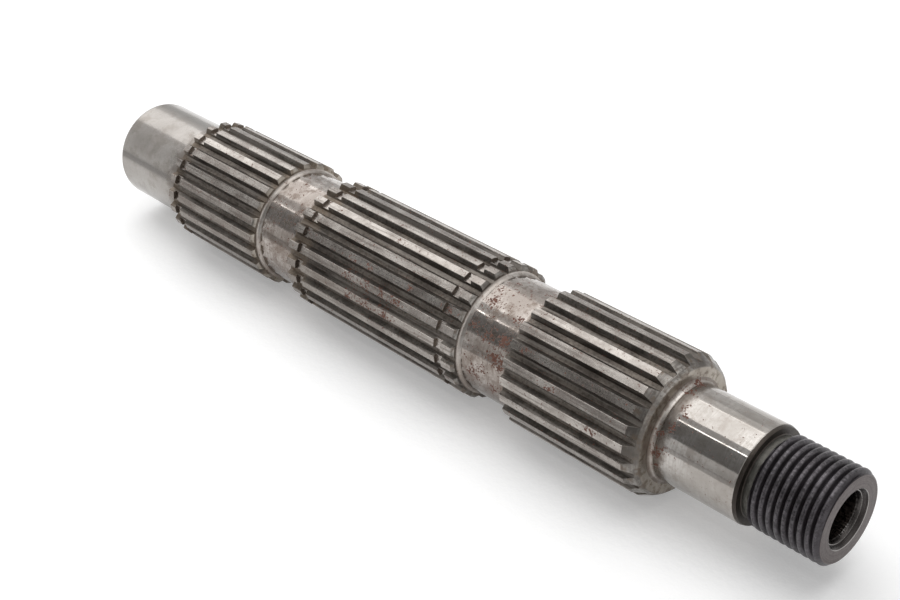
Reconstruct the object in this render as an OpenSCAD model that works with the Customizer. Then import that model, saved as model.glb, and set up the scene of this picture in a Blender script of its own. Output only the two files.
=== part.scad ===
// Splined transmission countershaft, turned and hobbed from one bar.
// Millimetres, +X along the shaft towards the threaded end, +Z up.
// The origin is on the axis at half of the overall length.

/* [Journals and necks] */

// Diameter of the plain bearing journal at the far end
far_journal_d = 30; // [28:0.1:31]
// Length of the far journal, up to the face of the first spline
far_journal_l = 31.6; // [26:0.1:38]
// Diameter of the ground bearing journal next to the thread
near_journal_d = 25; // [24:0.1:26]
// Length of the near journal, from the shoulder to its blackened edge
near_journal_l = 23.3; // [18:0.1:30]
// Diameter of the two necks between the splines
neck_d = 32.4; // [31:0.1:33]
// Length of the neck between the first and second spline
neck_1_l = 15.9; // [12:0.1:20]
// Length of the neck between the second and third spline
neck_2_l = 16.7; // [12:0.1:20]

/* [Splines] */

// Number of teeth, the same on all three splines
tooth_count = 23; // [21:1:24]
// Diameter over the teeth
tip_d = 37; // [36.6:0.1:38]
// Diameter of the slot floors
root_d = 34; // [33.6:0.1:34.4]
// Width of a tooth across its top, as an angle about the shaft
tooth_tip_angle = 6.3; // [6:0.1:6.6]
// Slope of the tooth flanks from the slot's middle plane
flank_angle = 30; // [26:1:32]
// Length of the first spline, with its end chamfer
spline_1_l = 40.7; // [34:0.1:48]
// Length of the second spline, with its end chamfer
spline_2_l = 65.9; // [54:0.1:78]
// Length of the third spline, with its long end chamfer
spline_3_l = 42.3; // [34:0.1:50]
// Axial width of the chamfer at the right end of splines one and two
short_chamfer_l = 0.7; // [0.5:0.1:1]
// Radial height of that chamfer
short_chamfer_h = 0.9; // [0.5:0.1:1.2]
// Axial width of the long chamfer at the end of the third spline
long_chamfer_l = 2.7; // [2:0.1:3.5]
// Radial height of that chamfer
long_chamfer_h = 1.45; // [1:0.05:1.7]
// Leg of the steeper bevel between the long chamfer and the shoulder
shoulder_bevel = 0.85; // [0.5:0.05:1.2]

/* [Retaining ring grooves] */

// Width of each retaining ring groove
ring_groove_w = 2.4; // [1.8:0.1:2.8]
// Diameter of the groove floors
ring_groove_d = 35.2; // [34.8:0.1:36]
// Teeth left outside the groove of the first spline
ring_land_1_l = 2.4; // [1.8:0.1:3.5]
// Teeth left outside the left groove of the second spline
ring_land_2_l = 3.7; // [2.5:0.1:5]
// Teeth left outside the right groove of the second spline, with the chamfer
ring_land_3_l = 4.2; // [3:0.1:6]

/* [Fillets and edges] */

// Radius of the fillet between the shoulder and the near journal
journal_fillet = 1.2; // [0.6:0.1:1.8]
// Radius of the fillets where splines one and two end on their necks
neck_fillet = 0.6; // [0.3:0.1:0.8]
// Radius of the rounded edge on the far end
far_edge_round = 1.2; // [0.6:0.1:2]

/* [Threaded end] */

// Outside diameter of the thread
thread_d = 23.2; // [22.6:0.1:23.8]
// Distance from crest to crest
thread_pitch = 2; // [1.75:0.25:2]
// Number of thread grooves
thread_turns = 8; // [7:1:8]
// Axial width of a thread crest
thread_crest = 0.34; // [0.2:0.02:0.5]
// Radial depth of the thread
thread_depth = 1.15; // [0.9:0.05:1.2]
// Length of the blackened end, from the journal to the end face
black_end_l = 21.6; // [20.6:0.1:23]
// Axial width of the bevel that ends the near journal
collar_bevel_l = 0.9; // [0.5:0.1:1.2]
// Radial height of that bevel
collar_bevel_h = 0.35; // [0.2:0.05:0.5]
// Diameter of the relief between the journal and the thread
relief_d = 20.8; // [20.4:0.1:21.2]
// Width of the relief floor
relief_w = 2.2; // [1.6:0.1:2.4]
// Leg of the chamfer on the end face
end_chamfer = 1; // [0.7:0.1:1.3]

/* [End bore] */

// Diameter of the 60 degree centre at the end face, inside its chamfer
mouth_d = 14.5; // [13.8:0.1:15]
// Leg of the chamfer on the mouth
mouth_chamfer = 0.25; // [0.1:0.05:0.4]
// Depth at which the centre steps in
mouth_step_l = 1.25; // [0.8:0.05:1.6]
// Radial height of that step
mouth_step_h = 0.2; // [0.1:0.05:0.3]
// Diameter of the bore behind the centre
bore_d = 11.7; // [10.5:0.1:12]
// Depth of the bore from the end face, without the drill point
bore_l = 32; // [20:1:60]

/* [Centre hole of the far end] */

// Diameter of the centre hole at the face
centre_d = 7; // [5:0.1:9]
// Diameter of its pilot
centre_pilot_d = 3.2; // [2.5:0.1:4]
// Depth of the pilot from the face
centre_pilot_l = 7; // [6:0.5:9]

/* [Hidden] */

$fn = 96;
// How far a cutter runs past the solid
over = 1;
drill_point_angle = 118;
centre_angle = 60;

// Stations along the shaft, measured from the far end
s_spline_1 = far_journal_l;
s_neck_1 = s_spline_1 + spline_1_l;
s_spline_2 = s_neck_1 + neck_1_l;
s_neck_2 = s_spline_2 + spline_2_l;
s_spline_3 = s_neck_2 + neck_2_l;
s_journal = s_spline_3 + spline_3_l;
s_black = s_journal + near_journal_l;
shaft_l = s_black + black_end_l;

// Radii
far_r = far_journal_d / 2;
near_r = near_journal_d / 2;
neck_r = neck_d / 2;
tip_r = tip_d / 2;
root_r = root_d / 2;
ring_r = ring_groove_d / 2;
thread_r = thread_d / 2;
relief_r = relief_d / 2;

// Stations of the thread
s_thread_end = shaft_l - end_chamfer;
s_thread = s_thread_end - thread_turns * thread_pitch - thread_crest / 2;
s_relief = s_black + collar_bevel_l;

// One slot between two teeth, with straight flanks and a flat floor
tooth_pitch_angle = 360 / tooth_count;
slot_half_angle = (tooth_pitch_angle - tooth_tip_angle) / 2;
slot_half_w = tip_r * sin(slot_half_angle);
slot_edge_r = tip_r * cos(slot_half_angle);
slot_floor_half_w = slot_half_w - (slot_edge_r - root_r) * tan(flank_angle);
slot_cut_r = slot_edge_r + over;
slot_cut_half_w = slot_half_w + over * tan(flank_angle);

// Lays a solid turned about Z along the shaft, with its far end at low X
module along_shaft() {
    translate([-shaft_l / 2, 0, 0]) rotate([0, 90, 0]) children();
}

// Outline of the turned blank as [radius, station], up to the near journal
blank_outline = [
    [0, 0],
    [far_r, 0],
    [far_r, s_spline_1],
    [tip_r, s_spline_1],
    [tip_r, s_neck_1 - short_chamfer_l],
    [tip_r - short_chamfer_h, s_neck_1],
    [neck_r + neck_fillet, s_neck_1],
    [neck_r, s_neck_1 + neck_fillet],
    [neck_r, s_spline_2],
    [tip_r, s_spline_2],
    [tip_r, s_neck_2 - short_chamfer_l],
    [tip_r - short_chamfer_h, s_neck_2],
    [neck_r + neck_fillet, s_neck_2],
    [neck_r, s_neck_2 + neck_fillet],
    [neck_r, s_spline_3],
    [tip_r, s_spline_3],
    [tip_r, s_journal - long_chamfer_l - shoulder_bevel],
    [tip_r - long_chamfer_h, s_journal - shoulder_bevel],
    [tip_r - long_chamfer_h - shoulder_bevel, s_journal],
    [near_r + journal_fillet, s_journal],
    [near_r, s_journal + journal_fillet],
    [near_r, s_black]
];

// Outline of the threaded end, with the turns as closed rings
thread_outline = concat(
    [
        [near_r - collar_bevel_h, s_relief],
        [relief_r, s_relief],
        [relief_r, s_relief + relief_w],
        [thread_r, s_thread]
    ],
    [
        for (i = [0 : thread_turns - 1])
            each [
                [thread_r, s_thread + i * thread_pitch + thread_crest],
                [thread_r - thread_depth, s_thread + (i + 0.5) * thread_pitch + thread_crest / 2],
                [thread_r, s_thread + (i + 1) * thread_pitch]
            ]
    ],
    [
        [thread_r, s_thread_end],
        [thread_r - end_chamfer, shaft_l],
        [0, shaft_l]
    ]
);

// Bar turned to size, before hobbing
module turned_blank() {
    rotate_extrude() polygon(concat(blank_outline, thread_outline));
}

// Round scooped out of a bevel, which leaves a fillet of the same radius
module fillet_cut(r_shaft, s_face, fillet_r) {
    rotate_extrude() translate([r_shaft + fillet_r, s_face + fillet_r]) circle(r = fillet_r);
}

// Rounded edge of the far end, as the ring that is turned away
module far_edge_cut() {
    rotate_extrude()
        difference() {
            translate([far_r - far_edge_round, -over]) square(far_edge_round + over);
            translate([far_r - far_edge_round, far_edge_round]) circle(r = far_edge_round);
        }
}

// Slots of all three splines, hobbed in line from end to end
module spline_slots() {
    translate([0, 0, s_spline_1 - over])
        linear_extrude(height = s_journal - s_spline_1 + 2 * over)
            for (i = [0 : tooth_count - 1])
                rotate(i * tooth_pitch_angle) slot_section();
}

module slot_section() {
    polygon([
        [root_r, -slot_floor_half_w],
        [slot_cut_r, -slot_cut_half_w],
        [slot_cut_r, slot_cut_half_w],
        [root_r, slot_floor_half_w]
    ]);
}

// Groove for a retaining ring, cut across the teeth
module ring_groove(s_left) {
    translate([0, 0, s_left])
        rotate_extrude()
            translate([ring_r, 0]) square([tip_r - ring_r + over, ring_groove_w]);
}

module ring_grooves() {
    ring_groove(s_spline_1 + ring_land_1_l);
    ring_groove(s_spline_2 + ring_land_2_l);
    ring_groove(s_neck_2 - ring_land_3_l - ring_groove_w);
}

// Bore of the threaded end, with the stepped centre in its mouth and a drill point
module end_bore() {
    mouth_r = mouth_d / 2;
    bore_r = bore_d / 2;
    step_r = mouth_r - (mouth_step_l - mouth_chamfer) * tan(centre_angle / 2);
    inner_r = step_r - mouth_step_h;
    rotate_extrude()
        polygon([
            [0, shaft_l + over],
            [mouth_r + mouth_chamfer + over, shaft_l + over],
            [mouth_r, shaft_l - mouth_chamfer],
            [step_r, shaft_l - mouth_step_l],
            [inner_r, shaft_l - mouth_step_l],
            [bore_r, shaft_l - mouth_step_l - (inner_r - bore_r) / tan(centre_angle / 2)],
            [bore_r, shaft_l - bore_l],
            [0, shaft_l - bore_l - bore_r / tan(drill_point_angle / 2)]
        ]);
}

// Centre hole of the far end, which the shaft was ground on
module centre_hole() {
    centre_r = centre_d / 2;
    pilot_r = centre_pilot_d / 2;
    rotate_extrude()
        polygon([
            [0, -over],
            [centre_r, -over],
            [centre_r, 0],
            [pilot_r, (centre_r - pilot_r) / tan(centre_angle / 2)],
            [pilot_r, centre_pilot_l],
            [0, centre_pilot_l + pilot_r / tan(drill_point_angle / 2)]
        ]);
}

module countershaft() {
    color([0.60, 0.58, 0.56])
        along_shaft()
            difference() {
                turned_blank();
                spline_slots();
                ring_grooves();
                fillet_cut(neck_r, s_neck_1, neck_fillet);
                fillet_cut(neck_r, s_neck_2, neck_fillet);
                fillet_cut(near_r, s_journal, journal_fillet);
                far_edge_cut();
                end_bore();
                centre_hole();
            }
}

countershaft();
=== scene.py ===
"""Splined transmission countershaft on a pale floor.

The frame is the CAD's: +X runs to the threaded end and +Z is up. The shaft's own
sizes are millimetres, with stations measured from its far end. The studio and the
camera are in metres.
"""
import math
from collections import namedtuple

import bmesh
import bpy
from mathutils import Matrix, Vector


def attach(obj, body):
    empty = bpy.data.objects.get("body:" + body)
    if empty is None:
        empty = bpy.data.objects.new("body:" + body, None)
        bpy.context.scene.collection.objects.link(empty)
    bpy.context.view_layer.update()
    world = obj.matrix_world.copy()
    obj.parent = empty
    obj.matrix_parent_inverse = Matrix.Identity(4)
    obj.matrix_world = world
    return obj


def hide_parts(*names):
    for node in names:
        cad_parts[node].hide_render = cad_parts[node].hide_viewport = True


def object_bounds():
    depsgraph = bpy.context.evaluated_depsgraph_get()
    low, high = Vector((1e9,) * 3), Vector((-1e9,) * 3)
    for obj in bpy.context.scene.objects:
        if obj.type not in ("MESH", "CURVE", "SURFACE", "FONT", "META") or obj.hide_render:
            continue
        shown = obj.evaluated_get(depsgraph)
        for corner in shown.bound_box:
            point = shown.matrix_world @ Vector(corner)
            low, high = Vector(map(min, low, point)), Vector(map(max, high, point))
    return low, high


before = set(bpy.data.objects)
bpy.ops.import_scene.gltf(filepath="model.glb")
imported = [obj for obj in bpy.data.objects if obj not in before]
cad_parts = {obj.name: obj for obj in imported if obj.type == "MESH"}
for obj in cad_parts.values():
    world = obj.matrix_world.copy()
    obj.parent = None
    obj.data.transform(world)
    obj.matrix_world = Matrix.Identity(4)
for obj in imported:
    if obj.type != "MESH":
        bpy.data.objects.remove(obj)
CAD_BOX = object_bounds()

MM = 0.001
SHAFT_L = 258.0

# Teeth and slots, alike on all three splines
TEETH = 23
TOOTH_PITCH = 2 * math.pi / TEETH
TIP_R = 18.494
ROOT_R = 17.0
TOOTH_TIP_ANGLE = math.radians(6.3)
FLANK_TAN = math.tan(math.radians(30))
TOOTH_EDGE = 0.09
ROOT_FILLET = 0.14
# A section that is less than this over the slot floors is round
LEAST_TOOTH = 0.02
# Largest share of a low tooth that its broken edge and its root fillet each take
EDGE_SHARE = 0.3
# How far the broken edge goes on over the tooth's top, as a share of its depth
EDGE_OVER_TOP = 0.6
# The middle point of a root fillet, up and in from its corner, as shares of its size
FILLET_MIDDLE = (0.28, 0.05)
# Points across half of a tooth's top
TOP_POINTS = (0.0, 0.35, 0.7, 1.0)
# The drill point and the like, where a ring can't have no size
LEAST_R = 0.001

# Journals, necks and retaining ring grooves
FAR_JOURNAL_R = 15.0
NEAR_JOURNAL_R = 12.5
NECK_R = 16.2
ROUND_R = 1.2  # of the far edge and of the fillet at the near journal
NECK_FILLET_L, NECK_FILLET_H = 1.2, 0.78
GROOVE_W, GROOVE_R = 2.4, 17.6
BURR = 0.07
TOOTH_LEAD = 0.1

# Stations of the splines' starts, the necks' starts and the shoulder
S_SPLINE_1, S_NECK_1 = 31.6, 72.3
S_SPLINE_2, S_NECK_2 = 88.2, 154.1
S_SPLINE_3, S_SHOULDER = 170.8, 213.1

# Thread and bore
PITCH = 2.0
THREAD_R = 11.6
THREAD_DEPTH = 1.1
CREST_AT = 239.53
RELIEF_R = 10.4
RUN_UP_AT, RUN_UP_SLOPE = 239.2, 2.2
END_CHAMFER = 1.0
BORE_R = 5.85
# Lines along one turn, as (distance past the crest, depth below it)
THREAD_LINES = (
    (-0.50, 0.24), (-0.30, 0.06), (0.0, 0.0), (0.30, 0.06), (0.50, 0.24),
    (0.70, 0.62), (0.87, 0.98), (1.0, THREAD_DEPTH), (1.13, 0.98), (1.30, 0.62),
)
# Turns that are laid out before the rows past both ends are dropped
THREAD_TURNS = range(-2, 12)

# Parts of the turned outline, as (station, radius)
CENTRE_HOLE = ((7.96, 0.02), (7.0, 1.6), (3.29, 1.6), (0.12, 3.43), (0.0, 3.58))
FAR_FACE = ((0.0, 8.0), (0.0, FAR_JOURNAL_R - ROUND_R))
LONG_TOOTH_END = ((209.45, TIP_R), (209.65, TIP_R - BURR))
LONG_SHOULDER = (
    (212.15, 17.12), (212.3, ROOT_R), (212.42, 16.86), (213.0, 16.3), (S_SHOULDER, 16.12),
    (S_SHOULDER, 15.0), (S_SHOULDER, NEAR_JOURNAL_R + ROUND_R),
)
JOURNAL_END = ((236.25, NEAR_JOURNAL_R), (236.4, 12.4))
COLLAR = (
    (236.45, 12.39), (237.2, 12.2), (237.3, 12.1), (237.3, 10.6), (237.5, RELIEF_R), (238.6, RELIEF_R),
)
END_FACE = ((SHAFT_L, 9.0), (SHAFT_L, 7.5))
BORE_LINE = (
    (257.75, 7.25), (256.78, 6.69), (256.75, 6.62), (256.75, 6.47), (255.67, BORE_R),
    (250.0, BORE_R), (240.0, BORE_R), (226.0, BORE_R), (222.49, 0.0),
)
# The end of a spline on a neck, as (distance past the neck's start, radius)
SHORT_TOOTH_END = ((-0.75, TIP_R), (-0.65, TIP_R - BURR))
SHORT_SHOULDER = ((-0.05, 17.65), (0.0, 17.58), (0.0, ROOT_R))

# Mesh clean-up
MERGE_GAP = 0.008 * MM
THIN_EDGE = 0.002 * MM
SHARP_ANGLE = math.radians(33)

# Camera, solved from the outline of the shaft in the photograph
FOCAL_PX = 1501.52
FRAME_PX = 900
SENSOR_MM = 36.0
CAMERA_AT = (0.252351, -0.213854, 0.226778)
CAMERA_RIGHT = (0.689613, 0.720630, -0.071599)
CAMERA_UP = (-0.370610, 0.436133, 0.820022)
CAMERA_BACK = (0.622159, -0.538963, 0.567835)
# Degrees from straight down, round by -Y, to the line of the shaft that faces the camera
FACING_CAMERA = 136.68

(FAR_STEEL, TOP_STEEL, SLOT_STEEL, NECK_STEEL, FILLET, JOURNAL_STEEL, OXIDE, SHOULDER, WALL,
 BORE) = range(10)


# Geometry
SLOT_HALF = (TOOTH_PITCH - TOOTH_TIP_ANGLE) / 2
SLOT_EDGE_R = TIP_R * math.cos(SLOT_HALF)
SLOT_EDGE_W = TIP_R * math.sin(SLOT_HALF)


def flank_w(x):
    """Half width of the slot at distance x along its middle line."""
    return SLOT_EDGE_W - (SLOT_EDGE_R - x) * FLANK_TAN


def flank_at(radius):
    """Point (x, w) where the flank meets a circle about the axis, found by halving."""
    lo, hi = ROOT_R * 0.9, TIP_R * 1.05
    for _ in range(40):
        mid = (lo + hi) / 2
        if math.hypot(mid, flank_w(mid)) < radius:
            lo = mid
        else:
            hi = mid
    return lo, flank_w(lo)


def half_cell(tip):
    """Section points (radius, angle) from a slot's middle to a tooth's middle."""
    floor_w = flank_w(ROOT_R)
    tip = max(tip, LEAST_R)
    if tip > ROOT_R + LEAST_TOOTH:
        edge = min(TOOTH_EDGE, (tip - ROOT_R) * EDGE_SHARE)
        fillet = min(ROOT_FILLET, (tip - ROOT_R) * EDGE_SHARE)
        up, inwards = FILLET_MIDDLE
        slot = [
            (ROOT_R, 0.0),
            (ROOT_R, floor_w - fillet),
            (ROOT_R + fillet * up, floor_w - fillet * inwards),
            (ROOT_R + fillet, flank_w(ROOT_R + fillet)),
            flank_at(tip - edge),
        ]
        points = [(math.hypot(x, w), math.atan2(w, x)) for x, w in slot]
        x, w = flank_at(tip)
        corner = math.atan2(w, x) + edge * EDGE_OVER_TOP / tip
    else:
        # A round section has as many points, spread alike, so that it can be bridged to a toothed one
        slot = [
            (ROOT_R, 0.0),
            (ROOT_R, floor_w * 0.8),
            (ROOT_R, floor_w),
            (ROOT_R + 0.2, flank_w(ROOT_R + 0.2)),
        ]
        points = [(min(tip, math.hypot(x, w)), math.atan2(w, x)) for x, w in slot]
        x, w = flank_at(max(tip, ROOT_R + 0.6))
        points.append((tip, math.atan2(w, x)))
        corner = points[-1][1] + 0.006
    middle = TOOTH_PITCH / 2
    return points + [(tip, corner + (middle - corner) * t) for t in TOP_POINTS]


def section(tip):
    """Closed ring of (radius, angle), with a slot straight down at angle 0."""
    half = half_cell(tip)
    cell = [(r, -a) for r, a in reversed(half[1:-1])] + half
    return [(r, a + k * TOOTH_PITCH) for k in range(TEETH) for r, a in cell]


RING = len(section(TIP_R))
CELL = RING // TEETH
# The faces of a cell that are slot floor or flank, and not tooth top
SLOT_FACES = range(3, 11)


def x_of(station):
    """The X coordinate of a station, in millimetres."""
    return station - SHAFT_L / 2


def place(station, radius, angle):
    """A point in metres; angle 0 is straight down and grows towards +Y."""
    return x_of(station) * MM, radius * math.sin(angle) * MM, -radius * math.cos(angle) * MM


def arc(s_mid, r_mid, radius, start, end, steps):
    """Outline points (station, radius) round a corner, angles in degrees from +station."""
    angles = [math.radians(start + (end - start) * i / steps) for i in range(steps + 1)]
    return [(s_mid + radius * math.cos(a), r_mid + radius * math.sin(a)) for a in angles]


def steps_between(a, b, count):
    """Even values from a to b, with so many steps."""
    return [a + (b - a) * i / count for i in range(count + 1)]


def profile():
    """The turned outline as (station, radius, material of the strip that ends here)."""
    out = []

    def add(points, material):
        out.extend((s, r, material) for s, r in points)

    def straight(stations, radius, material):
        """Rows of one radius; those between its ends only split the long faces."""
        add([(s, radius) for s in stations], material)

    def tooth_start(s):
        add([(s, TIP_R - TOOTH_LEAD), (s + TOOTH_LEAD, TIP_R)], TOP_STEEL)

    def tooth_run(a, b):
        """Rows that only split the long faces of the teeth."""
        straight(steps_between(a, b, 4)[1:-1], TIP_R, TOP_STEEL)

    def ring_groove(s):
        """Retaining ring groove with its burr edges broken."""
        add([(s - BURR, TIP_R), (s, TIP_R - BURR)], TOP_STEEL)
        add([(s, GROOVE_R)], WALL)
        add([(s + GROOVE_W, GROOVE_R)], TOP_STEEL)
        add([(s + GROOVE_W, TIP_R - BURR)], WALL)
        add([(s + GROOVE_W + BURR, TIP_R)], TOP_STEEL)

    def short_end(s):
        """Chamfered teeth, shoulder face and fillet down to a neck."""
        add([(s + past, r) for past, r in SHORT_TOOTH_END], TOP_STEEL)
        add([(s + past, r) for past, r in SHORT_SHOULDER], SHOULDER)
        end, top = s + NECK_FILLET_L, NECK_R + NECK_FILLET_H
        add([(end - NECK_FILLET_L * math.cos(a), top - NECK_FILLET_H * math.sin(a))
             for a in steps_between(0, math.pi / 2, 7)], FILLET)

    add(CENTRE_HOLE + FAR_FACE, FAR_STEEL)
    add(arc(ROUND_R, FAR_JOURNAL_R - ROUND_R, ROUND_R, 180, 90, 6)[1:], FAR_STEEL)
    straight((10.0, 20.0, S_SPLINE_1), FAR_JOURNAL_R, FAR_STEEL)
    add([(S_SPLINE_1, FAR_JOURNAL_R + 0.2)], FAR_STEEL)

    tooth_start(S_SPLINE_1)
    ring_groove(34.0)
    tooth_run(37.0, 71.5)
    short_end(S_NECK_1)
    straight((76.0, 80.0, 84.0, S_SPLINE_2), NECK_R, NECK_STEEL)

    tooth_start(S_SPLINE_2)
    ring_groove(91.9)
    tooth_run(95.0, 147.0)
    ring_groove(147.5)
    short_end(S_NECK_2)
    straight((158.0, 162.0, 166.0, S_SPLINE_3), NECK_R, NECK_STEEL)

    tooth_start(S_SPLINE_3)
    tooth_run(171.0, 209.4)
    add(LONG_TOOTH_END, TOP_STEEL)
    add(LONG_SHOULDER, SHOULDER)
    add(arc(S_SHOULDER + ROUND_R, NEAR_JOURNAL_R + ROUND_R, ROUND_R, 180, 270, 8)[1:], FILLET)
    straight((222.0, 230.0), NEAR_JOURNAL_R, JOURNAL_STEEL)
    add(JOURNAL_END, JOURNAL_STEEL)
    add(COLLAR, OXIDE)
    return out


def thread_radius(station, phase):
    """Radius of the threaded end where phase is the distance past a crest."""
    first_phase, first_depth = THREAD_LINES[0]
    phase = (phase - first_phase) % PITCH + first_phase
    lines = THREAD_LINES + ((first_phase + PITCH, first_depth),)
    depth = THREAD_DEPTH
    for (p0, d0), (p1, d1) in zip(lines, lines[1:]):
        if p0 <= phase <= p1:
            depth = d0 + (d1 - d0) * (phase - p0) / (p1 - p0)
            break
    start = RELIEF_R + max(0.0, station - RUN_UP_AT) * RUN_UP_SLOPE
    end = THREAD_R - max(0.0, station - (SHAFT_L - END_CHAMFER))
    return min(THREAD_R - depth, start, end)


def thread_rows(s_low, s_high):
    """Rows of (station, radius, angle) on a right-handed helix, held at its two ends."""
    angles = [a for _, a in section(RELIEF_R)]
    rows = []
    for turn in THREAD_TURNS:
        for past, _ in THREAD_LINES:
            row = []
            for a in angles:
                climb = PITCH * a / (2 * math.pi)
                s = min(max(CREST_AT + turn * PITCH + past + climb, s_low), s_high)
                row.append((s, thread_radius(s, s - CREST_AT - climb), a))
            rows.append(row)
    first = max(n for n, row in enumerate(rows) if all(s <= s_low for s, _, _ in row))
    final = min(n for n, row in enumerate(rows) if all(s >= s_high for s, _, _ in row))
    return rows[first:final + 1]


def build_shaft():
    bm = bmesh.new()

    def bridge(a, b, material, slotted=False):
        for i in range(RING):
            j = (i + 1) % RING
            face = bm.faces.new((a[i], a[j], b[j], b[i]))
            face.material_index = SLOT_STEEL if slotted and i % CELL in SLOT_FACES else material

    def lay(points, last):
        """Adds a ring for each outline point and bridges it to the one before."""
        last_r = 0.0
        for s, r, material in points:
            ring = [bm.verts.new(place(s, rr, a)) for rr, a in section(r)]
            if last:
                bridge(last, ring, material, min(r, last_r) > ROOT_R + LEAST_TOOTH)
            last, last_r = ring, r
        return last

    outline = profile()
    last = lay(outline, None)

    rows = thread_rows(outline[-1][0], SHAFT_L)
    grid = [[bm.verts.new(place(*point)) for point in row] for row in rows]
    bridge(last, grid[0], OXIDE)
    for n in range(len(grid) - 1):
        low, high = grid[n], grid[n + 1]
        for i in range(RING - 1):
            bm.faces.new((low[i], low[i + 1], high[i + 1], high[i])).material_index = OXIDE
        # Across the seam a row goes on as the row one turn further
        m = min(n + len(THREAD_LINES), len(grid) - 2)
        bm.faces.new((low[-1], grid[m][0], grid[m + 1][0], high[-1])).material_index = OXIDE

    mouth = [(s, r, OXIDE) for s, r in END_FACE] + [(s, r, BORE) for s, r in BORE_LINE]
    lay(mouth, grid[-1])

    bmesh.ops.remove_doubles(bm, verts=bm.verts, dist=MERGE_GAP)
    bmesh.ops.dissolve_degenerate(bm, dist=THIN_EDGE, edges=bm.edges)
    bmesh.ops.recalc_face_normals(bm, faces=bm.faces)
    for face in bm.faces:
        face.smooth = True
    for edge in bm.edges:
        edge.smooth = edge.calc_face_angle(0.0) < SHARP_ANGLE
    mesh = bpy.data.meshes.new("shaft")
    bm.to_mesh(mesh)
    bm.free()
    return bpy.data.objects.new("shaft", mesh)


# Materials
def rgb(r, g, b):
    return (r, g, b, 1.0)


WHITE = rgb(1, 1, 1)
RUST_DARK = rgb(0.065, 0.020, 0.012)
RUST_LIGHT = rgb(0.20, 0.070, 0.038)
GRIME = rgb(0.085, 0.060, 0.043)
DRIED_OIL = rgb(0.19, 0.143, 0.10)

# Noise levels between which a cloudy tone changes
CLOUD = (0.34, 0.66)

# Stations where dried oil sits, and radii between which it starts on a shoulder's face
SPLINE_ENDS = (32.0, S_NECK_1, S_SPLINE_2, 93.0)
OILY_FACE = (16.4, 15.9)

# Heights between which the lower half of the shaft is darkened, more towards the bottom
LOW_FROM, LOW_TO = 13.5, 3.0

# Turning lines on the end face, as noise features a metre of radius
FACE_LINES = 2600

# Radii of the painted highlights on the edges in the mouth of the bore
BORE_EDGE_HIGHLIGHTS = (7.42, 6.6, 5.95)

# Rust patches: station, degrees below the line that faces the camera, radius, how dense
NECK_RUST = (
    (158.3, -22, 4.0, 0.13), (156.8, -36, 2.5, 0.12), (168.4, -17, 3.0, 0.12), (167.5, 6, 3.6, 0.16),
    (167.6, 26, 3.6, 0.17), (162.5, 8, 3.0, 0.10), (157.0, 5, 2.5, 0.11), (159.2, 49, 3.2, 0.13),
    (162.9, 39, 2.6, 0.10), (165.9, 56, 3.0, 0.12), (165.0, 22, 3.0, 0.10), (168.0, -60, 3.0, 0.08),
)
JOURNAL_RUST = (
    (214.3, -62, 3.0, 0.18), (214.8, -42, 2.5, 0.17), (216.6, -22, 1.8, 0.13), (218.2, -27, 1.5, 0.12),
    (218.0, -14, 1.8, 0.13), (217.2, 2, 2.2, 0.15), (214.9, 14, 2.4, 0.17), (215.2, 36, 2.6, 0.17),
    (217.4, 27, 1.8, 0.12), (215.2, 52, 2.4, 0.15),
)
TOOTH_RUST = (
    (113.0, 20, 4.5, 0.11), (120.0, 20, 4.5, 0.11), (127.0, 20, 4.5, 0.11), (132.5, 20, 3.0, 0.14),
    (115.0, 35, 4.0, 0.11), (121.0, 35, 4.5, 0.11), (128.0, 35, 4.5, 0.11), (112.5, 4, 2.5, 0.10),
    (119.5, 4, 2.5, 0.12), (135.0, 4, 1.8, 0.13), (118.5, -43, 1.6, 0.11), (122.5, -29, 2.0, 0.10),
    (186.0, 20, 4.0, 0.10), (200.0, 35, 4.0, 0.10), (176.0, 4, 3.0, 0.09), (149.0, 4, 2.5, 0.13),
    (147.0, -28, 1.5, 0.09),
)

Stain = namedtuple("Stain", "tint amount per_metre rough")
Grime = namedtuple("Grime", "stations reach amount")
Rust = namedtuple("Rust", "patches radius spare")


class Nodes:
    """Makes and links nodes in one tree."""

    def __init__(self, tree):
        self.tree = tree

    def put(self, socket, value):
        if isinstance(value, bpy.types.NodeSocket):
            self.tree.links.new(value, socket)
        else:
            socket.default_value = value

    def node(self, kind, **sockets):
        made = self.tree.nodes.new(kind)
        for key, value in sockets.items():
            self.put(made.inputs[key], value)
        return made

    def math(self, op, a, b=0.0, clamp=False):
        made = self.tree.nodes.new("ShaderNodeMath")
        made.operation = op
        made.use_clamp = clamp
        self.put(made.inputs[0], a)
        self.put(made.inputs[1], b)
        return made.outputs[0]

    def ramp(self, value, low, high, to_low=0.0, to_high=1.0):
        """Smooth step of value between low and high."""
        made = self.node("ShaderNodeMapRange", Value=value)
        made.interpolation_type = "SMOOTHSTEP"
        made.inputs["From Min"].default_value = low
        made.inputs["From Max"].default_value = high
        made.inputs["To Min"].default_value = to_low
        made.inputs["To Max"].default_value = to_high
        return made.outputs["Result"]

    def blend(self, fac, a, b):
        """Mix of two numbers."""
        made = self.tree.nodes.new("ShaderNodeMix")
        made.data_type = "FLOAT"
        self.put(made.inputs["Factor"], fac)
        self.put(made.inputs[2], a)
        self.put(made.inputs[3], b)
        return made.outputs[0]

    def mix(self, fac, a, b):
        """Mix of two colours."""
        made = self.tree.nodes.new("ShaderNodeMix")
        made.data_type = "RGBA"
        self.put(made.inputs["Factor"], fac)
        self.put(made.inputs[6], a)
        self.put(made.inputs[7], b)
        return made.outputs[2]


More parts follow.
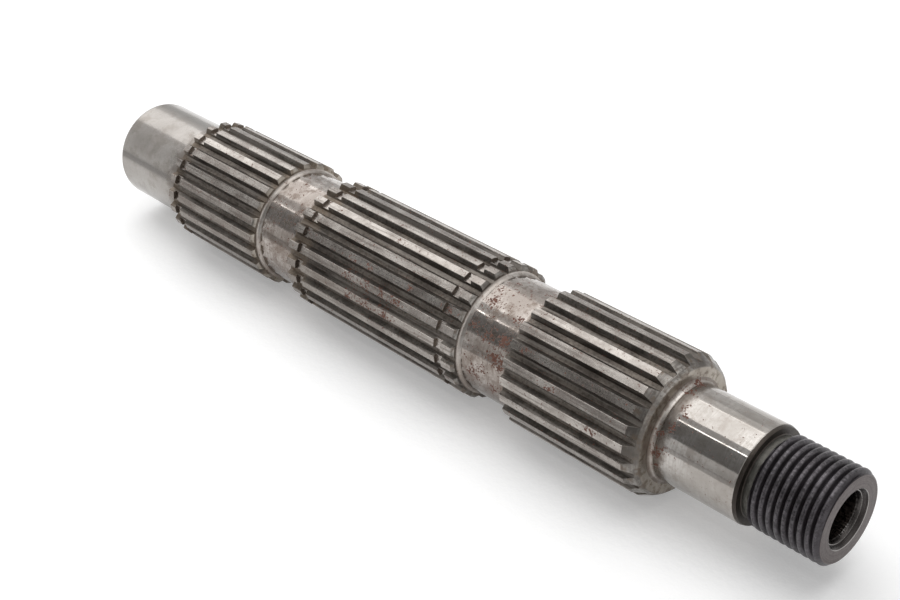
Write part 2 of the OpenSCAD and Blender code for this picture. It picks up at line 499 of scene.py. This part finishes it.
class Look(Nodes):
    """A node material in the object's own coordinates."""

    def __init__(self, name):
        self.mat = bpy.data.materials.new(name)
        self.mat.use_nodes = True
        super().__init__(self.mat.node_tree)
        self.shader = self.tree.nodes["Principled BSDF"]
        self.coord = self.tree.nodes.new("ShaderNodeTexCoord").outputs["Object"]
        split = self.node("ShaderNodeSeparateXYZ", Vector=self.coord)
        self.x, self.y, self.z = split.outputs

    def fade(self, length, start, end, top=1.0):
        """Smooth step from 0 to top of a length in metres, between two sizes in millimetres."""
        return self.ramp(length, start * MM, end * MM, 0.0, top)

    def noise(self, per_metre, detail=3.0, rough=0.55, along=1.0, offset=0.0):
        """Noise of so many features a metre, and along times as many down the shaft."""
        moved = self.node("ShaderNodeMapping", Vector=self.coord)
        moved.inputs["Scale"].default_value = (along, 1.0, 1.0)
        moved.inputs["Location"].default_value = (offset, offset * 0.7, -offset)
        made = self.node("ShaderNodeTexNoise", Vector=moved.outputs["Vector"])
        made.inputs["Scale"].default_value = per_metre
        made.inputs["Detail"].default_value = detail
        made.inputs["Roughness"].default_value = rough
        return made.outputs["Fac"]

    def radius(self):
        """Distance from the shaft's axis."""
        yy = self.math("MULTIPLY", self.y, self.y)
        zz = self.math("MULTIPLY", self.z, self.z)
        return self.math("SQRT", self.math("ADD", yy, zz))

    def near_to(self, point, size):
        """1 at a point of the shaft, falling to 0 at so many millimetres from it."""
        gap = self.tree.nodes.new("ShaderNodeVectorMath")
        gap.operation = "DISTANCE"
        self.put(gap.inputs[0], self.coord)
        gap.inputs[1].default_value = point
        return self.ramp(gap.outputs["Value"], size * MM, 0.0)

    def finish(self, color, rough, metal, height, depth):
        """Wires the shader, with a bump so many millimetres deep."""
        bump = self.node("ShaderNodeBump", Height=height)
        bump.inputs["Strength"].default_value = 1.0
        bump.inputs["Distance"].default_value = depth * MM
        self.put(self.shader.inputs["Base Color"], color)
        self.put(self.shader.inputs["Roughness"], rough)
        self.put(self.shader.inputs["Metallic"], metal)
        self.put(self.shader.inputs["Normal"], bump.outputs["Normal"])
        return self.mat


def at_photo_angle(station, degrees, radius):
    """A point by its angle below the line that faces the camera."""
    return place(station, radius, math.radians(degrees - FACING_CAMERA))


def rust_mask(look, rust, offset=0.0):
    """Small rust spots: dense in the patches, sparse elsewhere (a higher spare means fewer)."""
    fine = look.math("MULTIPLY", look.noise(1900, 2.0, 0.6, offset=offset), 0.6)
    coarse = look.math("MULTIPLY", look.noise(700, 3.0, 0.6, offset=offset + 1), 0.4)
    value = look.math("ADD", coarse, fine)
    for station, degrees, size, gain in rust.patches:
        mask = look.near_to(at_photo_angle(station, degrees, rust.radius), size)
        value = look.math("ADD", value, look.math("MULTIPLY", mask, gain))
    return look.ramp(value, rust.spare, rust.spare + 0.04, 0.0, 0.9)


def with_rust(look, color, rough, metal, mask):
    tone = look.mix(look.noise(1500, 2.0, 0.5, offset=2), RUST_DARK, RUST_LIGHT)
    return (look.mix(mask, color, tone), look.blend(mask, rough, 0.85),
            look.math("SUBTRACT", metal, mask, clamp=True))


def grime_mask(look, stations, reach):
    """Grime in the corners at these stations, along a ragged edge."""
    total = 0.0
    ragged = look.math("MULTIPLY", look.math("SUBTRACT", look.noise(420, 3.0), 0.5), 1.6 * reach * MM)
    for station in stations:
        gap = look.math("ABSOLUTE", look.math("SUBTRACT", look.x, x_of(station) * MM))
        near = look.fade(look.math("ADD", gap, ragged), reach, 0.1 * reach)
        total = look.math("ADD", near, total)
    return look.math("MINIMUM", total, 1.0)


def turned_steel(name, light, dark, rough, line_depth, wave=0.0, streaks=0.25, speckle=0.4,
                 stain=None, low=0.0, rust=None, grime=None, dried=None):
    """Turned or ground steel with cloudy tone, faint lines round the axis, stains, grime and rust.

    rough is the least and the greatest roughness, line_depth and wave are heights in
    millimetres, and low is how much the stain's tint darkens the lower half, more towards the bottom.
    """
    look = Look(name)
    cloud = look.ramp(look.noise(75, 4.0, 0.6), *CLOUD)
    grain = look.noise(1100, 3.0, 0.65)
    lines = look.noise(90, 3.0, 0.65, along=26.0)
    color = look.mix(cloud, dark, light)
    color = look.mix(look.ramp(lines, 0.4, 0.65, 0.0, streaks), color, dark)
    color = look.mix(look.ramp(grain, 0.46, 0.68, 0.0, speckle), color, dark)
    scuffs = look.noise(400, 3.0, 0.65, along=4.0, offset=3)
    worn = look.math("ADD", scuffs, look.math("MULTIPLY", lines, 0.6))
    dull = look.ramp(look.math("ADD", cloud, worn), 0.5, 1.7, rough[1], rough[0])
    metal = 1.0
    if dried:
        face = look.math("MULTIPLY", look.fade(look.radius(), *OILY_FACE), 0.65)
        near_end = look.math("MULTIPLY", grime_mask(look, SPLINE_ENDS, 1.2), 0.6)
        color = look.mix(look.math("MAXIMUM", face, near_end), color, dried)
    if stain:
        blots = look.ramp(look.noise(stain.per_metre, 4.0, 0.65, offset=7), 0.48, 0.66)
        spread = look.math("MULTIPLY", blots, stain.amount)
        patchy = look.ramp(look.noise(210, 4.0, 0.65, offset=11), 0.40, 0.58, 0.35, 1.0)
        below = look.math("MULTIPLY", look.fade(look.z, LOW_FROM, LOW_TO, low), patchy)
        color = look.mix(look.math("MAXIMUM", spread, below), color, stain.tint)
        dull = look.blend(spread, dull, stain.rough)
    if grime:
        dirty = look.math("MULTIPLY", grime_mask(look, grime.stations, grime.reach), grime.amount)
        color = look.mix(dirty, color, GRIME)
        dull = look.blend(dirty, dull, 0.5)
    if rust:
        color, dull, metal = with_rust(look, color, dull, metal, rust_mask(look, rust))
    height = look.math("ADD", lines, look.math("MULTIPLY", grain, 0.35))
    if wave:
        swell = look.math("MULTIPLY", look.noise(130, 2.0, offset=21), wave / line_depth)
        height = look.math("ADD", height, swell)
    return look.finish(color, dull, metal, height, line_depth)


def tooth_tops():
    """Ground tops of the teeth, pitted and scratched, with a little rust and painted shade on the lower
    side.
    """
    look = Look("tooth_top_steel")
    cloud = look.ramp(look.noise(120, 4.0, 0.65), *CLOUD)
    grain = look.noise(1500, 3.0, 0.7)
    pits = look.noise(900, 3.0, 0.6, offset=4)
    scratch = look.noise(1500, 2.0, 0.5, along=0.04)
    color = look.mix(cloud, rgb(0.27, 0.242, 0.221), rgb(0.438, 0.408, 0.378))
    color = look.mix(look.ramp(grain, 0.42, 0.70, 0.0, 0.2), color, rgb(0.19, 0.165, 0.15))
    color = look.mix(look.ramp(pits, 0.63, 0.69, 0.0, 0.5), color, rgb(0.11, 0.072, 0.056))
    color = look.mix(look.ramp(scratch, 0.52, 0.64, 0.0, 0.5), color, rgb(0.14, 0.12, 0.107))
    # Painted shade: the lower side is darkened, more so towards the first spline
    far_side = look.fade(look.x, x_of(174.0), x_of(89.0), 0.6)
    lower_side_shade = look.math("MULTIPLY", look.fade(look.z, LOW_FROM, LOW_TO), far_side)
    color = look.mix(lower_side_shade, color, rgb(0.14, 0.117, 0.099))
    rough = look.ramp(grain, 0.3, 0.7, 0.23, 0.34)
    mask = rust_mask(look, Rust(TOOTH_RUST, TIP_R, 0.6), offset=5)
    color, rough, metal = with_rust(look, color, rough, 1.0, mask)
    height = look.math("ADD", look.math("MULTIPLY", scratch, 0.6), grain)
    return look.finish(color, rough, metal, height, 0.01)


def slot_steel():
    """Hobbed flanks and slot floors: dull and brownish, with dried oil near the spline ends and painted
    shade in the root corners.
    """
    look = Look("slot_steel")
    r = look.radius()
    cloud = look.ramp(look.noise(110, 4.0, 0.65), *CLOUD)
    grain = look.noise(1300, 3.0, 0.7)
    hobbing = look.noise(700, 3.0, 0.6, along=0.06)
    flank = look.mix(cloud, rgb(0.068, 0.06, 0.053), rgb(0.14, 0.126, 0.112))
    floor = look.mix(cloud, rgb(0.080, 0.069, 0.060), rgb(0.165, 0.144, 0.124))
    color = look.mix(look.fade(r, 17.12, 17.4), floor, flank)
    # Painted shade: a dark line in the concave corners between the slot floors and the flanks
    corner = look.math("MULTIPLY", look.fade(r, 17.22, 17.08), look.fade(r, 17.02, 17.08))
    color = look.mix(look.math("MULTIPLY", corner, 0.7), color, rgb(0.04, 0.026, 0.018))
    color = look.mix(look.ramp(grain, 0.45, 0.68, 0.0, 0.55), color, rgb(0.04, 0.034, 0.029))
    color = look.mix(look.ramp(hobbing, 0.5, 0.62, 0.0, 0.6), color, rgb(0.22, 0.20, 0.18))
    rough = look.ramp(grain, 0.3, 0.7, 0.42, 0.58)
    dried = look.math("MULTIPLY", grime_mask(look, SPLINE_ENDS, 4.5), 0.38)
    color = look.mix(dried, color, DRIED_OIL)
    mask = rust_mask(look, Rust(TOOTH_RUST, TIP_R, 0.62), offset=9)
    color, rough, metal = with_rust(look, color, rough, 1.0, mask)
    height = look.math("ADD", hobbing, look.math("MULTIPLY", grain, 0.5))
    return look.finish(color, rough, metal, height, 0.03)


def black_oxide():
    """Blackened thread with worn crests, a brown collar, a grey relief and a turned end face."""
    look = Look("black_oxide")
    r = look.radius()
    cloud = look.ramp(look.noise(170, 4.0, 0.65), 0.32, 0.68)
    grain = look.noise(1700, 3.0, 0.7)
    color = look.mix(cloud, rgb(0.038, 0.034, 0.037), rgb(0.072, 0.065, 0.071))
    scuffs = look.ramp(look.noise(1500, 4.0, 0.7, along=0.6), 0.4, 0.64)
    worn = look.math("MULTIPLY", look.fade(r, 11.2, THREAD_R), scuffs)
    color = look.mix(look.math("MULTIPLY", worn, 0.65), color, rgb(0.175, 0.163, 0.175))
    color = look.mix(look.ramp(grain, 0.45, 0.7, 0.0, 0.5), color, rgb(0.02, 0.017, 0.017))
    brown = look.mix(cloud, rgb(0.035, 0.028, 0.023), rgb(0.06, 0.05, 0.042))
    color = look.mix(look.fade(look.x, x_of(238.8), x_of(239.4)), brown, color)
    relief = look.math("MULTIPLY", look.fade(look.x, x_of(237.4), x_of(237.7)),
                       look.fade(look.x, x_of(239.4), x_of(239.0)))
    color = look.mix(relief, color, look.mix(cloud, rgb(0.07, 0.066, 0.058), rgb(0.15, 0.145, 0.13)))
    turning = look.tree.nodes.new("ShaderNodeTexNoise")
    turning.noise_dimensions = "1D"
    look.put(turning.inputs["W"], look.math("MULTIPLY", r, FACE_LINES))
    turning.inputs["Scale"].default_value = 1.0
    turning.inputs["Detail"].default_value = 3.0
    rings = look.ramp(turning.outputs["Fac"], 0.35, 0.65, 0.0, 0.6)
    tone = look.math("ADD", rings, look.math("MULTIPLY", look.noise(420, 4.0, 0.7), 0.4))
    face = look.mix(tone, rgb(0.055, 0.043, 0.041), rgb(0.125, 0.102, 0.098))
    color = look.mix(look.fade(look.x, x_of(257.9), x_of(257.99)), color, face)
    rough = look.ramp(grain, 0.3, 0.7, 0.30, 0.43)
    return look.finish(color, rough, 0.75, grain, 0.03)


def bore_steel():
    """Dark drilled bore, with painted highlights on the edges of the steps of its grinding centre."""
    look = Look("bore_steel")
    r = look.radius()
    lines = look.noise(60, 3.0, 0.7, along=40.0)
    grain = look.noise(1300, 3.0, 0.65)
    mouth = look.mix(look.ramp(lines, 0.36, 0.64), rgb(0.024, 0.021, 0.020), rgb(0.085, 0.078, 0.075))
    wall = look.mix(grain, rgb(0.03, 0.024, 0.021), rgb(0.16, 0.135, 0.12))
    color = look.mix(look.fade(r, 6.0, 5.84), mouth, wall)
    # Painted highlights: thin bright rings at the edges of the steps
    for edge in BORE_EDGE_HIGHLIGHTS:
        gap = look.math("ABSOLUTE", look.math("SUBTRACT", r, edge * MM))
        color = look.mix(look.fade(gap, 0.10, 0.02, 0.8), color, rgb(0.45, 0.43, 0.415))
    return look.finish(color, look.ramp(grain, 0.3, 0.7, 0.24, 0.36), 1.0, lines, 0.01)


def shaft_materials():
    """The shaft's materials in the order of their numbers."""
    made = {
        FAR_STEEL: turned_steel(
            "far_journal_steel", light=rgb(0.36, 0.34, 0.32), dark=rgb(0.30, 0.28, 0.26),
            rough=(0.16, 0.23), line_depth=0.006, wave=0.06,
            stain=Stain(rgb(0.24, 0.215, 0.19), 0.5, 190, 0.3), grime=Grime((30.0,), 5.5, 0.5)),
        TOP_STEEL: tooth_tops(),
        SLOT_STEEL: slot_steel(),
        NECK_STEEL: turned_steel(
            "neck_steel", light=rgb(0.52, 0.485, 0.455), dark=rgb(0.27, 0.237, 0.213),
            rough=(0.08, 0.22), line_depth=0.01, wave=0.04, streaks=0.5, speckle=0.75,
            stain=Stain(rgb(0.165, 0.13, 0.108), 0.8, 300, 0.30), low=0.9,
            grime=Grime((S_SPLINE_2, S_SPLINE_3), 1.8, 0.75), rust=Rust(NECK_RUST, NECK_R, 0.585)),
        FILLET: turned_steel(
            "fillet_steel", light=rgb(0.56, 0.53, 0.50), dark=rgb(0.33, 0.295, 0.265),
            rough=(0.33, 0.43), line_depth=0.01, speckle=0.5,
            stain=Stain(rgb(0.235, 0.19, 0.162), 0.6, 260, 0.4), low=0.6,
            grime=Grime((73.7, 155.5, 213.2), 0.45, 0.6), rust=Rust(JOURNAL_RUST, 13.0, 0.6)),
        JOURNAL_STEEL: turned_steel(
            "near_journal_steel", light=rgb(0.51, 0.485, 0.46), dark=rgb(0.34, 0.315, 0.29),
            rough=(0.05, 0.10), line_depth=0.004, wave=0.05, streaks=0.55, speckle=0.8,
            stain=Stain(rgb(0.29, 0.26, 0.235), 0.7, 260, 0.16),
            grime=Grime((215.6,), 2.4, 0.65), rust=Rust(JOURNAL_RUST, NEAR_JOURNAL_R, 0.62)),
        OXIDE: black_oxide(),
        SHOULDER: turned_steel(
            "shoulder_steel", light=rgb(0.37, 0.35, 0.325), dark=rgb(0.105, 0.094, 0.084),
            rough=(0.28, 0.44), line_depth=0.04, streaks=0.65, speckle=0.85,
            stain=Stain(rgb(0.145, 0.112, 0.086), 0.8, 420, 0.5),
            rust=Rust(JOURNAL_RUST, 14.0, 0.64), dried=rgb(0.42, 0.375, 0.32)),
        WALL: turned_steel(
            "groove_wall_steel", light=rgb(0.27, 0.23, 0.195), dark=rgb(0.11, 0.088, 0.072),
            rough=(0.5, 0.6), line_depth=0.02),
        BORE: bore_steel(),
    }
    return [made[number] for number in range(len(made))]


shaft = build_shaft()
bpy.context.scene.collection.objects.link(shaft)
for material in shaft_materials():
    shaft.data.materials.append(material)
even = shaft.modifiers.new("even_normals", "WEIGHTED_NORMAL")
even.keep_sharp = True
even.weight = 100
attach(shaft, "root")
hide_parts("countershaft")


# Floor and light, in metres. The world lights the shaft at AMBIENT and is white where it is seen
AMBIENT = 0.35
FLOOR_Z = CAD_BOX[0][2]
FLOOR_SIZE = 30
# The floor's own glow where it is seen, near the shaft and far from it
NEAR_LIFT, FAR_LIFT = 0.27, 0.72
LIFT_FROM, LIFT_TO = 0.3, 1.7


def seen_directly(nodes):
    """1 where the camera, a mirror or glass looks at the surface."""
    path = nodes.node("ShaderNodeLightPath")
    both = nodes.math("ADD", path.outputs["Is Camera Ray"], path.outputs["Is Glossy Ray"])
    return nodes.math("ADD", both, path.outputs["Is Transmission Ray"], clamp=True)


def floor_paper():
    look = Look("floor_paper")
    tone = look.mix(look.noise(3, 3.0), rgb(0.80, 0.80, 0.80), rgb(0.82, 0.82, 0.82))
    xx = look.math("MULTIPLY", look.x, look.x)
    yy = look.math("MULTIPLY", look.y, look.y)
    span = look.math("SQRT", look.math("ADD", xx, yy))
    lift = look.ramp(span, LIFT_FROM, LIFT_TO, NEAR_LIFT, FAR_LIFT)
    look.put(look.shader.inputs["Emission Color"], WHITE)
    look.put(look.shader.inputs["Emission Strength"], look.math("MULTIPLY", seen_directly(look), lift))
    return look.finish(tone, 0.9, 0.0, look.noise(400, 2.0), 0.1)


bpy.ops.mesh.primitive_plane_add(size=FLOOR_SIZE, location=(0, 0, FLOOR_Z))
floor = bpy.context.object
floor.name = "floor"
floor.data.materials.append(floor_paper())

world = bpy.data.worlds.new("studio")
world.use_nodes = True
bpy.context.scene.world = world
sky = world.node_tree.nodes["Background"]
air = Nodes(world.node_tree)
air.put(sky.inputs["Color"], WHITE)
air.put(sky.inputs["Strength"], air.blend(seen_directly(air), AMBIENT, 1.0))


def around(angle, distance, along=0.0):
    """A point about the shaft: 0 is the +Y side, 90 overhead, 180 the -Y side, in degrees."""
    a = math.radians(angle)
    return Vector((along, distance * math.cos(a), distance * math.sin(a)))


def facing_axis(obj, angle, yaw=0.0):
    """Turns local Y along the shaft and local -Z to its axis, then swings it about local Z."""
    out = around(angle, 1.0)
    y = Vector((1, 0, 0))
    turned = Matrix((y.cross(out), y, out)).transposed() @ Matrix.Rotation(math.radians(yaw), 3, "Z")
    obj.rotation_euler = turned.to_euler()


def lamp(name, angle, distance, across, along, length, watts, yaw=0.0):
    data = bpy.data.lights.new(name, "AREA")
    data.shape = "RECTANGLE"
    data.size = across
    data.size_y = length
    data.energy = watts
    obj = bpy.data.objects.new(name, data)
    bpy.context.scene.collection.objects.link(obj)
    obj.location = around(angle, distance, along)
    facing_axis(obj, angle, yaw)
    obj.visible_camera = False


def card(name, angle, distance, across, along, length, value, fade=0.0, yaw=0.0, lit=0.0, lit_fade=0.0):
    """A studio card that only reflections see.

    value is its tone and lit its glow; the fades are what these gain over its length,
    towards the threaded end.
    """
    bpy.ops.mesh.primitive_plane_add(size=1, location=around(angle, distance, along))
    obj = bpy.context.object
    obj.name = name
    facing_axis(obj, angle, yaw)
    obj.scale = (across, length, 1)
    look = Look(name + "_cloth")
    level = look.ramp(look.noise(6, 2.0), 0.3, 0.7, value * 0.94, value * 1.06)
    if fade:
        level = look.math("ADD", look.math("MULTIPLY", look.y, fade), level)
    tone = look.node("ShaderNodeCombineColor", Red=level, Green=level, Blue=level)
    glow = lit
    if lit_fade:
        glow = look.math("ADD", look.math("MULTIPLY", look.y, lit_fade), lit)
        glow = look.math("MAXIMUM", glow, 0.0)
    look.put(look.shader.inputs["Emission Color"], WHITE)
    look.put(look.shader.inputs["Emission Strength"], glow)
    obj.data.materials.append(look.finish(tone.outputs["Color"], 0.95, 0.0, look.noise(50, 2.0), 0.5))
    obj.visible_camera = False
    obj.visible_shadow = False
    obj.visible_diffuse = False
    return obj


# The softbox overhead, with a black card so that nothing behind it is reflected
OVERHEAD = dict(angle=77.7, across=0.75, along=-0.5, length=1.9, yaw=-10)
lamp("softbox", distance=0.8, watts=8.9, **OVERHEAD)
card("softbox_back", distance=0.82, value=0.02, **OVERHEAD)

# A weak lamp behind the shaft, and the thin bright line along the journals
lamp("glow", angle=46, distance=0.8, across=0.28, along=-0.5, length=1.9, watts=0.5, yaw=-10)
lamp("strip", angle=118.5, distance=0.65, across=0.024, along=-0.2, length=1.1, watts=0.35)

# What the shaft reflects behind it, towards the camera and on the table
card("backdrop", angle=27, distance=1.2, across=1.1, along=-0.6, length=3.0, value=0.8, lit=0.36)
card("dark_card", angle=139.5, distance=0.7, across=0.47, along=-0.25, length=1.2, value=0.3, fade=-0.15)
card("grey_wall", angle=141, distance=0.95, across=1.6, along=-0.5, length=3.0, value=0.8, lit=0.2,
     lit_fade=-1.0)
table = card("table_card", angle=-90, distance=0.0, across=1.66, along=-0.35, length=2.6, value=0.54)
table.location = (-0.35, -0.9, FLOOR_Z + 0.0005)
table.rotation_euler = (0, 0, math.radians(90 - 9.2))

# Camera
cam_data = bpy.data.cameras.new("camera")
cam_data.sensor_width = SENSOR_MM
cam_data.lens = FOCAL_PX / FRAME_PX * SENSOR_MM
cam_data.clip_start = 0.01
cam = bpy.data.objects.new("camera", cam_data)
bpy.context.scene.collection.objects.link(cam)
turn = Matrix((CAMERA_RIGHT, CAMERA_UP, CAMERA_BACK)).transposed()
cam.matrix_world = Matrix.LocRotScale(Vector(CAMERA_AT), turn.to_quaternion(), None)
bpy.context.scene.camera = cam
bpy.context.scene.view_settings.view_transform = "Standard"
